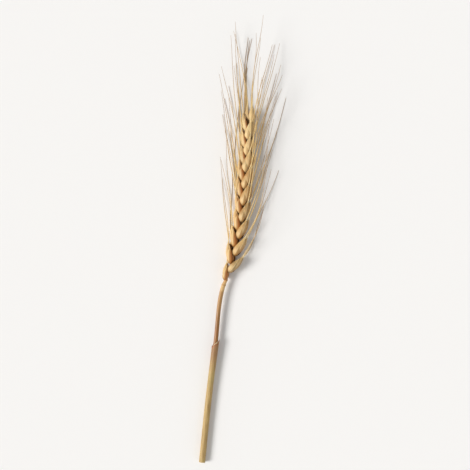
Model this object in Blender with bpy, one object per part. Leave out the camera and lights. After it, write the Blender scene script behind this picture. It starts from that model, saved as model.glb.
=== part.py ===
"""A bearded wheat ear on its cut straw, lying on a surface. Metres, +Z up, ear towards +Y.

Spikelets sit by turns on the two sides of a zigzag rachis. Each holds two keeled glumes and three
florets, and each floret's lemma ends in a long awn. Below the ear the culm is bare, and then a leaf
sheath wraps it down to the cut. What lies underneath is flattened where it meets the surface.
"""

import math
import random
from collections import namedtuple

import bmesh
import bpy
import numpy as np
from mathutils import Matrix, Vector

MM = 0.001
DEG = math.radians(1)

# The stalk's centreline: its sideways bends (X) and heights over the surface (Z) along Y.
# The ear grows from Y = 0.
STALK_Y = np.array((-95, -62, -30, 0, 14, 30, 60, 102)) * MM
STALK_X = np.array((-11.4, -8.0, -4.0, 0, 5.0, 8.6, 11.8, 14.8)) * MM
STALK_Z = np.array((1.72, 2.05, 2.75, 3.45, 3.52, 3.55, 3.52, 3.3)) * MM
CENTRE = Vector((-10.57, -25.1, 0)) * MM  # moves the finished part's middle over the origin

SPIKELETS = 20  # the last is the terminal spikelet
THREE_FLORETS = range(2, 18)  # the spikelets at the ends have two
INTERNODE = 4.45 * MM
FIRST_NODE = 4.0 * MM
TWIST_FOOT = -12 * DEG
TWIST_TIP = -36 * DEG
TILT_SHARES = (0, 0.05, 0.12, 0.35, 1)  # of the ear's length
TILTS = np.array((6, 19, 15, 10, 7)) * DEG  # of a spikelet from the rachis
SEED = 17

CULM_RADIUS = 1.15 * MM
CULM_STEP = 8 * MM
CULM_BORE_RADIUS = 0.65 * MM
CULM_BORE_DEPTH = 9 * MM
RACHIS_FOOT_RADIUS = 0.9 * MM
RACHIS_RADIUS = 0.62 * MM
RACHIS_SWAY = 0.3 * MM  # away from each spikelet
SPIKELET_FOOT_RADIUS = 1.2 * MM
SHEATH_TOP = -30 * MM
SHEATH_RADIUS = 1.8 * MM
SHEATH_WALL = 0.35 * MM
SHEATH_STEP = 7 * MM
SHEATH_FLARE = (1.04, 1.12)  # at the last two points under its mouth
SHEATH_MOUTH_SLANT = 38 * DEG
JOINT_GAP = 0.3 * MM  # between pieces that meet
WELD = 0.01 * MM

AWN_LENGTH = 58 * MM
AWN_RADIUS = 0.4 * MM
AWN_POINTS = 5
AWN_FLARE = 13 * DEG  # of an awn's end from the ear
AWN_BEND = 3  # how soon an awn turns from its husk's direction to its own
AWN_TAPER = 0.6  # the share of its radius that an awn loses
AWN_CLEARANCE = 0.03 * MM  # over the surface, where an awn is pressed on it
FLOOR_SOFTNESS = 0.8 * MM

HUSK_SIDES = 5
HUSK_RINGS = 5

# along, out and fan: where the husk is rooted on its spikelet. splay: towards the fan side.
# facing: where its back looks, from outwards (0) to fanwards (90 degrees).
Husk = namedtuple("Husk", "along out fan splay lean facing length half_width depth awn")
GLUME = Husk(-0.6 * MM, 0.0 * MM, 1.0 * MM, 9 * DEG, 1 * DEG, 70 * DEG, 9.8 * MM, 2.15 * MM, 1.6 * MM, 0)
LEMMA = Husk(0.9 * MM, 0.4 * MM, 0.8 * MM, 6 * DEG, 3 * DEG, 52 * DEG, 11.2 * MM, 2.1 * MM, 1.75 * MM, 1)
INNER_LEMMA = Husk(2.4 * MM, 0.9 * MM, 0.1 * MM, 1 * DEG, 3 * DEG, 4 * DEG, 9.8 * MM, 1.9 * MM, 1.5 * MM, 0.8)
FLORETS = ((GLUME, 1), (GLUME, -1), (LEMMA, 1), (LEMMA, -1), (INNER_LEMMA, 1))

# ahead: where the ear above the spikelet points
Spikelet = namedtuple("Spikelet", "root axis out fan ahead size")


def smooth(knots, values, at):
    """Cubic through the knots, whose slopes are those of their neighbours' chords."""
    slopes = np.gradient(values, knots)
    i = np.clip(np.searchsorted(knots, at) - 1, 0, len(knots) - 2)
    span = knots[i + 1] - knots[i]
    t = (at - knots[i]) / span
    rise = (2 * t**3 - 3 * t**2 + 1) * values[i] + (3 * t**2 - 2 * t**3) * values[i + 1]
    return rise + span * ((t**3 - 2 * t**2 + t) * slopes[i] + (t**3 - t**2) * slopes[i + 1])


def stalk_point(y):
    """Where the stalk's centreline is at height y."""
    return Vector((float(smooth(STALK_Y, STALK_X, y)), y, float(smooth(STALK_Y, STALK_Z, y))))


def stalk_tangent(y, step=0.5 * MM):
    return (stalk_point(y + step) - stalk_point(y - step)).normalized()


def spikelet_size(share):
    """Spikelets are small at the ear's foot, full in its middle and smaller again at its tip."""
    return float(np.interp(share, (0, 0.05, 0.12, 0.65, 1), (0.76, 0.92, 1, 1, 0.82)))


def spikelet_frame(k, draw):
    """Root, axis, outward and fan directions and size of spikelet k."""
    share = k / (SPIKELETS - 1)
    y = FIRST_NODE + k * INTERNODE
    along = stalk_tangent(y)
    side = along.cross(Vector((0, 0, 1))).normalized()
    twist = TWIST_FOOT + (TWIST_TIP - TWIST_FOOT) * share + draw.uniform(-5, 5) * DEG
    out = Matrix.Rotation(twist, 3, along) @ side * (1 if k % 2 else -1)
    tilt = float(np.interp(share, TILT_SHARES, TILTS)) + draw.uniform(-2, 2) * DEG
    if k == SPIKELETS - 1:
        # the terminal spikelet stands across the others, on the rachis's end
        out = out.cross(along)
        tilt = 0
    axis = (along * math.cos(tilt) + out * math.sin(tilt)).normalized()
    out = (out - axis * out.dot(axis)).normalized()
    root = stalk_point(y) + out * RACHIS_RADIUS * (0.6 if tilt else -1.6)
    size = spikelet_size(share) * draw.uniform(0.96, 1.04)
    ahead = (stalk_point(STALK_Y[-1]) - stalk_point(min(y, STALK_Y[-2]))).normalized()
    return Spikelet(root, axis, out, axis.cross(out), ahead, size)


def husk_frame(husk, hand, spikelet, draw):
    """Root, direction, back and across directions and length of one husk of a spikelet."""
    root, axis, out, fan, _, size = spikelet
    fan = fan * hand
    splay = husk.splay + draw.uniform(-1.5, 1.5) * DEG
    along = (axis + fan * math.tan(splay) + out * math.tan(husk.lean)).normalized()
    back = out * math.cos(husk.facing) + fan * math.sin(husk.facing)
    back = (back - along * back.dot(along)).normalized()
    foot = root + (axis * husk.along + out * husk.out + fan * husk.fan) * size
    return foot, along, back, along.cross(back), size * draw.uniform(0.97, 1.03)


def husk_point(husk, frame, t, back_share, across_share):
    """A point of a boat-shaped husk, pointed at its tip, with a keel and a nearly flat belly."""
    foot, along, back, across, size = frame
    narrowing = 1 - 0.62 * t**2.2
    high = back_share * narrowing * (1 if back_share > 0 else 0.45)
    bow = 0.28 * math.sin(math.pi * t) - 0.1
    sideways = across * husk.half_width * across_share * narrowing
    return foot + (along * husk.length * t + sideways + back * husk.depth * (high + bow)) * size


def husk_mesh(husk, frame, awn):
    """A sphere drawn out to a husk, and its last rings along the points of the husk's awn."""
    _, _, back, across, _ = frame
    made = bmesh.new()
    rings = HUSK_RINGS + len(awn)
    bmesh.ops.create_uvsphere(made, u_segments=HUSK_SIDES, v_segments=rings, radius=1)
    for vertex in made.verts:
        x, y, z = vertex.co
        ring = round(math.acos(max(-1, min(1, -z))) / math.pi * rings)
        wide = math.hypot(x, y)
        if ring < HUSK_RINGS or not awn:
            slope = math.pi * ring / HUSK_RINGS
            swell = math.sin(slope) / wide if wide > 0.01 else 0
            t = (1 - math.cos(slope)) / 2
            vertex.co = husk_point(husk, frame, t, x * swell, y * swell)
        else:
            share = (ring - HUSK_RINGS) / len(awn)
            thin = AWN_RADIUS * (1 - AWN_TAPER * share) / wide if wide > 0.01 else 0
            middle = awn[min(ring - HUSK_RINGS, len(awn) - 1)]
            vertex.co = middle + (back * x + across * y) * thin
    return made


def foot_mesh(spikelet):
    """The swelling that a spikelet's husks grow from, sunk in the rachis."""
    made = bmesh.new()
    place = Matrix.Translation(spikelet.root + spikelet.axis * 0.5 * SPIKELET_FOOT_RADIUS)
    radius = SPIKELET_FOOT_RADIUS * spikelet.size
    bmesh.ops.create_icosphere(made, subdivisions=1, radius=radius, matrix=place)
    return made


def over_surface(z, clear):
    """Eases a height up to the surface, as an awn pressed on a table bends flat along it."""
    return clear + FLOOR_SOFTNESS * math.log1p(math.exp((z - clear) / FLOOR_SOFTNESS))


def awn_path(husk, hand, frame, spikelet, share, draw):
    """Points along an awn, which leaves the husk's tip straight and bends towards the ear's tip."""
    foot, along, _, _, size = frame
    # the foot's small spikelets have short awns
    reach = float(np.interp(share, (0, 0.1, 0.3, 0.75, 1), (0.3, 0.7, 1, 0.92, 0.78)))
    length = AWN_LENGTH * husk.awn * reach * draw.uniform(0.88, 1.12)
    turn = hand * (62 if husk is LEMMA else 10) * DEG + draw.uniform(-16, 16) * DEG
    flare = AWN_FLARE + draw.uniform(-5, 7) * DEG
    aside = spikelet.out * math.cos(turn) + spikelet.fan * math.sin(turn)
    end = spikelet.ahead * math.cos(flare) + aside * math.sin(flare)
    start = foot + along * husk.length * size
    points = []
    for t in np.linspace(0, 1, AWN_POINTS):
        straight = (1 - math.exp(-AWN_BEND * t)) / AWN_BEND
        point = start + (along * straight + end * (t - straight)) * length
        point.z = over_surface(point.z, AWN_RADIUS * (1 - AWN_TAPER * t) + AWN_CLEARANCE)
        points.append(point)
    return points


def object_of(name, mesh, collection):
    made = bpy.data.objects.new(name, mesh)
    collection.objects.link(made)
    return made


def solid_of(name, made, collection):
    """The object of a bmesh, which is freed."""
    mesh = bpy.data.meshes.new(name)
    made.to_mesh(mesh)
    made.free()
    return object_of(name, mesh, collection)


def tube(name, points, radii, collection, sides_step=1):
    """A closed tube along points, made a mesh. Its sides number 4 and 2 more for each step."""
    curve = bpy.data.curves.new(name, "CURVE")
    curve.dimensions = "3D"
    curve.bevel_depth = 1
    curve.bevel_resolution = sides_step
    curve.use_fill_caps = True
    spline = curve.splines.new("POLY")
    spline.points.add(len(points) - 1)
    for place, point, radius in zip(spline.points, points, radii):
        place.co = (*point, 1)
        place.radius = radius
    guide = object_of(name, curve, collection)
    graph = bpy.context.evaluated_depsgraph_get()
    mesh = bpy.data.meshes.new_from_object(guide.evaluated_get(graph))
    bpy.data.objects.remove(guide)
    made = bmesh.new()
    made.from_mesh(mesh)
    bmesh.ops.remove_doubles(made, verts=made.verts, dist=WELD)
    made.to_mesh(mesh)
    made.free()
    return object_of(name, mesh, collection)


def apply_boolean(target, operation, tool, solver="EXACT"):
    """Joins or cuts target with an object or with all of a collection, and keeps the result."""
    change = target.modifiers.new(operation.lower(), "BOOLEAN")
    change.operation = operation
    change.solver = solver
    if isinstance(tool, bpy.types.Collection):
        change.operand_type = "COLLECTION"
        change.collection = tool
    else:
        change.object = tool
    graph = bpy.context.evaluated_depsgraph_get()
    mesh = bpy.data.meshes.new_from_object(target.evaluated_get(graph))
    target.modifiers.clear()
    target.data = mesh


def keep_outer_shell(target):
    """Fills the hollows that joining sealed, and drops loose scraps."""
    made = bmesh.new()
    made.from_mesh(target.data)
    left = set(made.verts)
    shells = []
    while left:
        shell = {left.pop()}
        edge = list(shell)
        while edge:
            near = {e.other_vert(v) for v in edge for e in v.link_edges} - shell
            shell |= near
            edge = list(near)
        left -= shell
        shells.append(shell)
    outer = max(shells, key=len)
    bmesh.ops.delete(made, geom=[v for v in made.verts if v not in outer], context="VERTS")
    made.to_mesh(target.data)
    made.free()


def floor_cutter(collection):
    """A slab whose top is the surface that the part lies on."""
    made = bmesh.new()
    bmesh.ops.create_cube(made, size=1)
    slab = Matrix.Translation((0, 30 * MM, -5 * MM)) @ Matrix.Diagonal((0.2, 0.4, 0.01, 1))
    bmesh.ops.transform(made, matrix=slab, verts=made.verts)
    cutter = solid_of("surface", made, collection)
    cutter.hide_render = True
    cutter.display_type = "WIRE"
    return cutter


def make_ear(wheat, repeats, surface):
    """The rachis with every glume, lemma and awn fused to it."""
    draw = random.Random(SEED)
    ends = FIRST_NODE + INTERNODE * (SPIKELETS - 1)
    heights = [JOINT_GAP / 2, *(FIRST_NODE + INTERNODE * k for k in range(SPIKELETS - 1)), ends]
    points = []
    for k, y in enumerate(heights):
        sway = 0 if k == 0 else RACHIS_SWAY * (1 if k % 2 else -1)
        side = stalk_tangent(y).cross(Vector((0, 0, 1))).normalized()
        points.append(stalk_point(y) + side * sway)
    radii = [CULM_RADIUS, *np.linspace(RACHIS_FOOT_RADIUS, RACHIS_RADIUS, SPIKELETS)]
    ear = tube("ear", points, radii, wheat)
    for k in range(SPIKELETS):
        spikelet = spikelet_frame(k, draw)
        solid_of(f"foot_{k}", foot_mesh(spikelet), repeats)
        for place, (husk, hand) in enumerate(FLORETS):
            if husk is INNER_LEMMA and k not in THREE_FLORETS:
                continue
            frame = husk_frame(husk, hand, spikelet, draw)
            awn = awn_path(husk, hand, frame, spikelet, k / (SPIKELETS - 1), draw) if husk.awn else ()
            solid_of(f"husk_{k}_{place}", husk_mesh(husk, frame, awn), repeats)
    apply_boolean(ear, "UNION", repeats, "MANIFOLD")
    for made in list(repeats.objects):
        bpy.data.objects.remove(made)
    apply_boolean(ear, "DIFFERENCE", surface, "MANIFOLD")
    keep_outer_shell(ear)
    return ear


def along_stalk(low, high, step):
    return [stalk_point(y) for y in np.linspace(low, high, round((high - low) / step) + 1)]


def make_straw(wheat, cutters):
    """The culm from its cut end to the collar under the ear, hollow where it was cut."""
    points = along_stalk(STALK_Y[0], -JOINT_GAP / 2, CULM_STEP)
    straw = tube("straw", points, [CULM_RADIUS] * len(points), wheat, sides_step=3)
    hollow = along_stalk(STALK_Y[0], STALK_Y[0] + CULM_BORE_DEPTH, CULM_BORE_DEPTH / 3)
    hollow.insert(0, hollow[0] - stalk_tangent(STALK_Y[0]) * MM)
    bore = tube("straw_bore", hollow, [CULM_BORE_RADIUS] * len(hollow), cutters, sides_step=2)
    bore.hide_render = True
    bore.display_type = "WIRE"
    apply_boolean(straw, "DIFFERENCE", bore)
    return straw


def make_sheath(wheat, cutters, surface):
    """The leaf sheath round the culm, with a slanted mouth where the blade was stripped off."""
    points = along_stalk(STALK_Y[0], SHEATH_TOP, SHEATH_STEP)
    flare = [1] * (len(points) - 2) + [*SHEATH_FLARE]
    radii = [SHEATH_RADIUS * wider for wider in flare]
    sheath = tube("leaf_sheath", points, radii, wheat, sides_step=3)
    inside = [points[0] - stalk_tangent(STALK_Y[0]) * MM, *points[1:]]
    inside.append(points[-1] + stalk_tangent(SHEATH_TOP) * MM)
    bores = [r - SHEATH_WALL for r in (*radii, radii[-1])]
    bore = tube("sheath_bore", inside, bores, cutters, sides_step=3)
    slant = bmesh.new()
    bmesh.ops.create_cube(slant, size=20 * MM)
    lift = Matrix.Translation(stalk_point(SHEATH_TOP - 1 * MM))
    turn = Matrix.Rotation(SHEATH_MOUTH_SLANT, 4, "Z")
    raise_half = Matrix.Translation((0, 10 * MM, 0))
    bmesh.ops.transform(slant, matrix=lift @ turn @ raise_half, verts=slant.verts)
    mouth_cutter = solid_of("sheath_mouth", slant, cutters)
    for cutter in (bore, mouth_cutter):
        cutter.hide_render = True
        cutter.display_type = "WIRE"
        apply_boolean(sheath, "DIFFERENCE", cutter)
    apply_boolean(sheath, "DIFFERENCE", surface)
    return sheath


def finish_with(made, name, colour, roughness):
    material = bpy.data.materials.new(name)
    material.use_nodes = True
    shader = material.node_tree.nodes["Principled BSDF"]
    shader.inputs["Base Color"].default_value = (*colour, 1)
    shader.inputs["Roughness"].default_value = roughness
    shader.inputs["Metallic"].default_value = 0
    made.data.materials.clear()
    made.data.materials.append(material)
    made.data.transform(Matrix.Translation(CENTRE))
    made.data.shade_smooth()
    made.data.set_sharp_from_angle(angle=40 * DEG)


def main():
    for old in list(bpy.data.objects):
        bpy.data.objects.remove(old)
    scene = bpy.context.scene.collection
    wheat, repeats, cutters = (bpy.data.collections.new(n) for n in ("wheat_ear", "repeats", "cutters"))
    for collection in (wheat, repeats, cutters):
        scene.children.link(collection)
    surface = floor_cutter(cutters)
    finish_with(make_ear(wheat, repeats, surface), "husk", (0.62, 0.42, 0.21), 0.6)
    finish_with(make_straw(wheat, cutters), "straw", (0.52, 0.32, 0.13), 0.45)
    finish_with(make_sheath(wheat, cutters, surface), "sheath", (0.6, 0.45, 0.22), 0.5)


main()
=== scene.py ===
# %% [markdown]
# # A bearded wheat ear on its cut straw
# An ear of bearded wheat is a zigzag stem, the rachis, with a spikelet on each bend, left and right by
# turns. A spikelet holds two papery glumes and two or three lemmas, and every lemma runs out into a long
# bristle, its awn. Below the ear is the hollow straw, cut off and wrapped in the sheath of a leaf. This
# lesson works each of them out with numpy, over a frame that fixes where everything is. It is in metres,
# with the ear along +Y and +Z towards the camera.

# %% Load the frame
import math
import random
from collections import namedtuple
from types import SimpleNamespace

import bpy
import numpy as np
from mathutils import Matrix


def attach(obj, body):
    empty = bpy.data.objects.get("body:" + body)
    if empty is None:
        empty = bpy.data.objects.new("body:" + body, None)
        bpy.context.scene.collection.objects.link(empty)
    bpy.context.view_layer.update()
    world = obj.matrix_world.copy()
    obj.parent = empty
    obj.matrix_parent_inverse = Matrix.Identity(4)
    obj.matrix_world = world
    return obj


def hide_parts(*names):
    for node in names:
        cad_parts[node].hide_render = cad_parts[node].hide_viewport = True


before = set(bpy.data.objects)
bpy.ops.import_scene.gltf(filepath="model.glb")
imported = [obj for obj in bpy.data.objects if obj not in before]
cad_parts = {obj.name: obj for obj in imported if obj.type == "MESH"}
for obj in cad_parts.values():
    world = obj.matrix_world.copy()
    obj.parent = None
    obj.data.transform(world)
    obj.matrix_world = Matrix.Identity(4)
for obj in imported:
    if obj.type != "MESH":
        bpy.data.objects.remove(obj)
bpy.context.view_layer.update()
scene = bpy.context.scene
MM, CM = 0.001, 0.01
DEG = math.radians(1)


# %% [markdown]
# ## Small tools for arrays of vectors
# Every shape below is an array whose last axis is x, y, z. `ease` is the usual smooth step, `wander` a
# repeatable sum of sines for edges that grew unevenly, and `towards` turns one direction into another,
# which is how every ring of points is drawn.


# %% Vector helpers
def unit(vector):
    """The vector over its own length."""
    return vector / np.linalg.norm(vector, axis=-1, keepdims=True)


def square_to(axis, vector):
    """The unit vector at right angles to a unit axis that comes nearest to the vector."""
    return unit(vector - axis * (axis * vector).sum(-1, keepdims=True))


def ease(low, high, x):
    """0 below low, 1 above high, and 3 s^2 - 2 s^3 between them, where s goes from 0 to 1."""
    s = np.clip((x - low) / (high - low), 0, 1)
    return 3 * s**2 - 2 * s**3


def bell(x, width):
    """A soft bump, 1 where x is nought: exp(-(x / width)^2)."""
    return np.exp(-((x / width) ** 2))


def towards(turn, first, second):
    """Directions at the angles turn from first towards second: first cos(turn) + second sin(turn)."""
    turn = np.asarray(turn)[..., None]
    return first * np.cos(turn) + second * np.sin(turn)


def evenly(sides):
    """Angles of so many sides, evenly round from 0."""
    return np.linspace(0, 2 * np.pi, sides, endpoint=False)


def stacked(*parts):
    """Numbers or arrays spread over one another's shapes, side by side on a new last axis."""
    return np.stack(np.broadcast_arrays(*parts), -1)


def wander(x, seed, waves=5, pace=1.0):
    """Sines of 1, 2, 3 ... waves with seeded phases, each as weak as it is fast: within about 1."""
    phases = np.random.default_rng(seed).uniform(0, 2 * np.pi, waves)
    n = np.arange(1, waves + 1)
    return (np.sin(np.asarray(x)[..., None] * n * pace + phases) / n).sum(-1) / 1.6


print("ease(0, 1, 0.25) =", ease(0, 1, 0.25))

# %% [markdown]
# ## The stalk's line
# Straw and ear are one stem that leans a little and lies on the table along its cut end and its lowest
# husks. Eight measured points fix its line. A cubic through them gives any point between, and the
# direction there comes from two points half a millimetre to either side.

# %% The stalk's line
STALK_Y = np.array((-95, -62, -30, 0, 14, 30, 60, 102)) * MM
STALK_X = np.array((-11.4, -8.0, -4.0, 0, 5.0, 8.6, 11.8, 14.8)) * MM
STALK_Z = np.array((1.72, 2.05, 2.75, 3.45, 3.52, 3.55, 3.52, 3.3)) * MM
CENTRE = np.array((-10.57, -25.1, 0)) * MM  # from the ear's foot to the frame's middle
UP = np.array((0.0, 0.0, 1.0))


def smooth(knots, values, at):
    """Cubic through the knots, whose slopes are those of their neighbours' chords."""
    slopes = np.gradient(values, knots)
    i = np.clip(np.searchsorted(knots, at) - 1, 0, len(knots) - 2)
    span = knots[i + 1] - knots[i]
    t = (at - knots[i]) / span
    rise = (2 * t**3 - 3 * t**2 + 1) * values[i] + (3 * t**2 - 2 * t**3) * values[i + 1]
    return rise + span * ((t**3 - 2 * t**2 + t) * slopes[i] + (t**3 - t**2) * slopes[i + 1])


def stalk_point(y):
    """Points of the stalk's centreline at the heights y over the ear's foot."""
    y = np.asarray(y, float)
    return np.stack((smooth(STALK_Y, STALK_X, y), y, smooth(STALK_Y, STALK_Z, y)), -1) + CENTRE


def stalk_frame(y, step=0.5 * MM):
    """Unit vectors at the heights y: along the stalk, to its side (+X) and up from it."""
    along = unit(stalk_point(y + step) - stalk_point(y - step))
    side = unit(np.cross(along, UP))
    return along, side, np.cross(side, along)


print("the ear's foot is at", np.round(stalk_point(0) / MM, 2), "mm")

# %% [markdown]
# ## Where every husk sits
# Twenty spikelets share one rule: each is rooted on the rachis 4.45 mm over the last, looks out to its
# side, leans away from the stem, and carries four or five husks at fixed places. A seeded generator
# turns each of them by a few degrees, so that no two are alike. Drawn in the same order from the same
# seed, they are the frame's own husks.

# %% Spikelets
SPIKELETS = 20  # the last is the terminal spikelet
THREE_FLORETS = range(2, 18)
INTERNODE = 4.45 * MM
FIRST_NODE = 4.0 * MM
TWIST = (-12 * DEG, -36 * DEG)  # of the rows round the stalk, at the ear's foot and tip
TILT_SHARES = (0, 0.05, 0.12, 0.35, 1)  # of the ear's length
TILTS = np.array((6, 19, 15, 10, 7)) * DEG  # of a spikelet from the rachis
SIZE_SHARES, SIZES = (0, 0.05, 0.12, 0.65, 1), (0.76, 0.92, 1, 1, 0.82)
RACHIS_RADIUS = 0.62 * MM
ROOT_REACH, LAST_ROOT_REACH = 0.6, -1.6  # of a spikelet's root, in radii of the rachis
SEED = 17

Spikelet = namedtuple("Spikelet", "root axis out fan ahead size share left")
Husk = namedtuple("Husk", "along out fan splay lean facing length half_width depth awn")


def kind_of_husk(foot, angles, size, awn):
    """A kind of husk from its foot's place (along, out, fan) in mm, its splay, lean and facing in
    degrees, its length, half-width and depth in mm, and its awn's share of the longest."""
    return Husk(*(v * MM for v in foot), *(v * DEG for v in angles), *(v * MM for v in size), awn)


GLUME = kind_of_husk((-0.6, 0.0, 1.0), (9, 1, 70), (9.8, 2.15, 1.6), 0)
LEMMA = kind_of_husk((0.9, 0.4, 0.8), (6, 3, 52), (11.2, 2.1, 1.75), 1)
INNER_LEMMA = kind_of_husk((2.4, 0.9, 0.1), (1, 3, 4), (9.8, 1.9, 1.5), 0.8)
FLORETS = ((GLUME, 1), (GLUME, -1), (LEMMA, 1), (LEMMA, -1), (INNER_LEMMA, 1))


def turned(vector, axis, angle):
    """The vector turned about a unit axis: Rodrigues' formula."""
    around = np.cross(axis, vector) * math.sin(angle)
    return vector * math.cos(angle) + around + axis * axis.dot(vector) * (1 - math.cos(angle))


def spikelet_of(k, draw):
    """Root, axis, outward and fan directions and size of spikelet k, counted from the ear's foot. Odd
    ones look to the right, and the last one stands across the others on the stalk's end."""
    share = k / (SPIKELETS - 1)
    y = FIRST_NODE + k * INTERNODE
    along, side, _ = stalk_frame(y)
    twist = TWIST[0] + (TWIST[1] - TWIST[0]) * share + draw.uniform(-5, 5) * DEG
    out = turned(side, along, twist) * (1 if k % 2 else -1)
    tilt, reach = np.interp(share, TILT_SHARES, TILTS) + draw.uniform(-2, 2) * DEG, ROOT_REACH
    if k == SPIKELETS - 1:
        out, tilt, reach = np.cross(out, along), 0.0, LAST_ROOT_REACH
    axis = unit(towards(tilt, along, out))
    out = square_to(axis, out)
    root = stalk_point(y) + out * RACHIS_RADIUS * reach
    ahead = unit(stalk_point(STALK_Y[-1]) - stalk_point(min(y, STALK_Y[-2])))
    size = np.interp(share, SIZE_SHARES, SIZES) * draw.uniform(0.96, 1.04)
    return Spikelet(root, axis, out, np.cross(axis, out), ahead, size, share, 1.0 - k % 2)


# %% Husks and the courses of their awns
AWN_LENGTH = 58 * MM
AWN_FLARE = 13 * DEG  # from where the ear points
AWN_TURNS = {LEMMA: 62 * DEG, INNER_LEMMA: 10 * DEG}  # of the flare, from outwards to the fan's side
AWN_SHARES, AWN_REACHES = (0, 0.1, 0.3, 0.75, 1), (0.3, 0.7, 1, 0.92, 0.78)


def husk_of(husk, hand, spikelet, draw):
    """A husk's foot, its directions along, back and across, its size, and its awn's end and length."""
    root, axis, out, _, ahead, size, share, left = spikelet
    fan = spikelet.fan * hand
    splay = husk.splay + draw.uniform(-1.5, 1.5) * DEG
    along = unit(axis + fan * math.tan(splay) + out * math.tan(husk.lean))
    back = towards(husk.facing, out, fan)
    back = square_to(along, back)
    foot = root + (axis * husk.along + out * husk.out + fan * husk.fan) * size
    size = size * draw.uniform(0.97, 1.03)
    end, awn = ahead, 0.0
    if husk.awn:
        reach = np.interp(share, AWN_SHARES, AWN_REACHES)
        awn = AWN_LENGTH * husk.awn * reach * draw.uniform(0.88, 1.12)
        turn = hand * AWN_TURNS[husk] + draw.uniform(-16, 16) * DEG
        flare = AWN_FLARE + draw.uniform(-5, 7) * DEG
        end = towards(flare, ahead, towards(turn, out, spikelet.fan))
    return dict(
        foot=foot, along=along, back=back, across=np.cross(along, back), out=out, end=end,
        length=husk.length * size, half_width=husk.half_width * size, depth=husk.depth * size,
        awn=awn, hand=float(hand), share=share, left=left, size=size,
    )


draw = random.Random(SEED)
spikelets = []
made = {GLUME: [], LEMMA: [], INNER_LEMMA: []}
for k in range(SPIKELETS):
    spikelets.append(spikelet_of(k, draw))
    for husk, hand in FLORETS:
        if husk is not INNER_LEMMA or k in THREE_FLORETS:
            made[husk].append(husk_of(husk, hand, spikelets[-1], draw))

LOW_SHARE, KHAKI_TONE = 0.07, 0.96  # the lowest spikelet on the right is khaki
tones = np.random.default_rng(5)


def rows_of(husks):
    """The husks' numbers as arrays shaped to spread over rings and sides: (husks, 1, 1[, 3])."""
    table = {key: np.array([h[key] for h in husks]) for key in husks[0]}
    table["tone"] = tones.uniform(0, 1, len(husks))
    lowest_right = (table["share"] < LOW_SHARE) & (table["left"] < 0.5)
    table["tone"][lowest_right] = KHAKI_TONE
    rows = {key: value.reshape(len(husks), 1, 1, *value.shape[1:]) for key, value in table.items()}
    return SimpleNamespace(**rows)


glumes, lemmas = rows_of(made[GLUME]), rows_of(made[LEMMA] + made[INNER_LEMMA])
print(len(made[GLUME]), "glumes and", lemmas.tone.size, "lemmas on", len(spikelets), "spikelets")

# %% [markdown]
# ## From arrays to a mesh
# Two patterns of faces make every piece. A loft is a stack of closed rings with a point at each end: a
# husk, an awn, a straw. A sheet is a grid with a thickness: the rolled leaf sheath. `piece_of` puts the
# arrays into a mesh with foreach_set, turns the faces outwards if the volume they enclose comes out
# negative, and keeps per-point numbers, such as a husk's tone, for the materials.


# %% Faces of lofts and sheets
def loft_faces(count, rings, sides):
    """Quads between neighbouring rings and a fan to a pole at each end, for count lofts of
    rings * sides points followed by their two poles."""
    ring, side = np.meshgrid(np.arange(rings - 1), np.arange(sides), indexing="ij")
    a, b = ring * sides + side, ring * sides + (side + 1) % sides
    quads = np.stack((a, b, b + sides, a + sides), -1).reshape(-1, 4)
    s = np.arange(sides)
    n, last, pole = (s + 1) % sides, (rings - 1) * sides, rings * sides
    foot = np.stack((np.full(sides, pole), n, s), -1)
    tip = np.stack((np.full(sides, pole + 1), last + s, last + n), -1)
    step = (np.arange(count) * (pole + 2))[:, None, None]
    return [(quads + step).reshape(-1, 4), (foot + step).reshape(-1, 3), (tip + step).reshape(-1, 3)]


def with_poles(rings, tip=None):
    """Lofts' points (count, rings, sides, n) in rows, each followed by its poles: the middles of its
    end rings, unless its tip is given."""
    foot, tip = rings[:, 0].mean(1), rings[:, -1].mean(1) if tip is None else tip
    flat = rings.reshape(len(rings), -1, rings.shape[-1])
    return np.concatenate((flat, foot[:, None], tip[:, None]), 1).reshape(-1, rings.shape[-1])


def lofts(rings, tip=None):
    """Points and faces of the lofts through rings (count, rings, sides, 3)."""
    return with_poles(rings, tip), loft_faces(*rings.shape[:3])


def sheet_faces(rows, columns):
    """Two grids of rows * columns points, outer then inner, joined by quads round their border."""
    r, c = np.meshgrid(np.arange(rows - 1), np.arange(columns - 1), indexing="ij")
    a = (r * columns + c).ravel()
    outer = np.stack((a, a + 1, a + 1 + columns, a + columns), -1)
    whole = np.arange(rows * columns).reshape(rows, columns)
    rim = np.concatenate((whole[0], whole[1:, -1], whole[-1, -2::-1], whole[-2:0:-1, 0]))
    after, inner = np.roll(rim, -1), rows * columns
    border = np.stack((after, rim, rim + inner, after + inner), -1)
    return [outer, outer[:, ::-1] + inner, border]


def enclosed(points, faces):
    """Volume inside the faces: a sixth of the sum of a . (b x c) over their triangles."""
    total = 0.0
    for group in faces:
        for i in range(1, group.shape[1] - 1):
            a, b, c = points[group[:, 0]], points[group[:, i]], points[group[:, i + 1]]
            total += float((a * np.cross(b, c)).sum()) / 6
    return total


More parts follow.
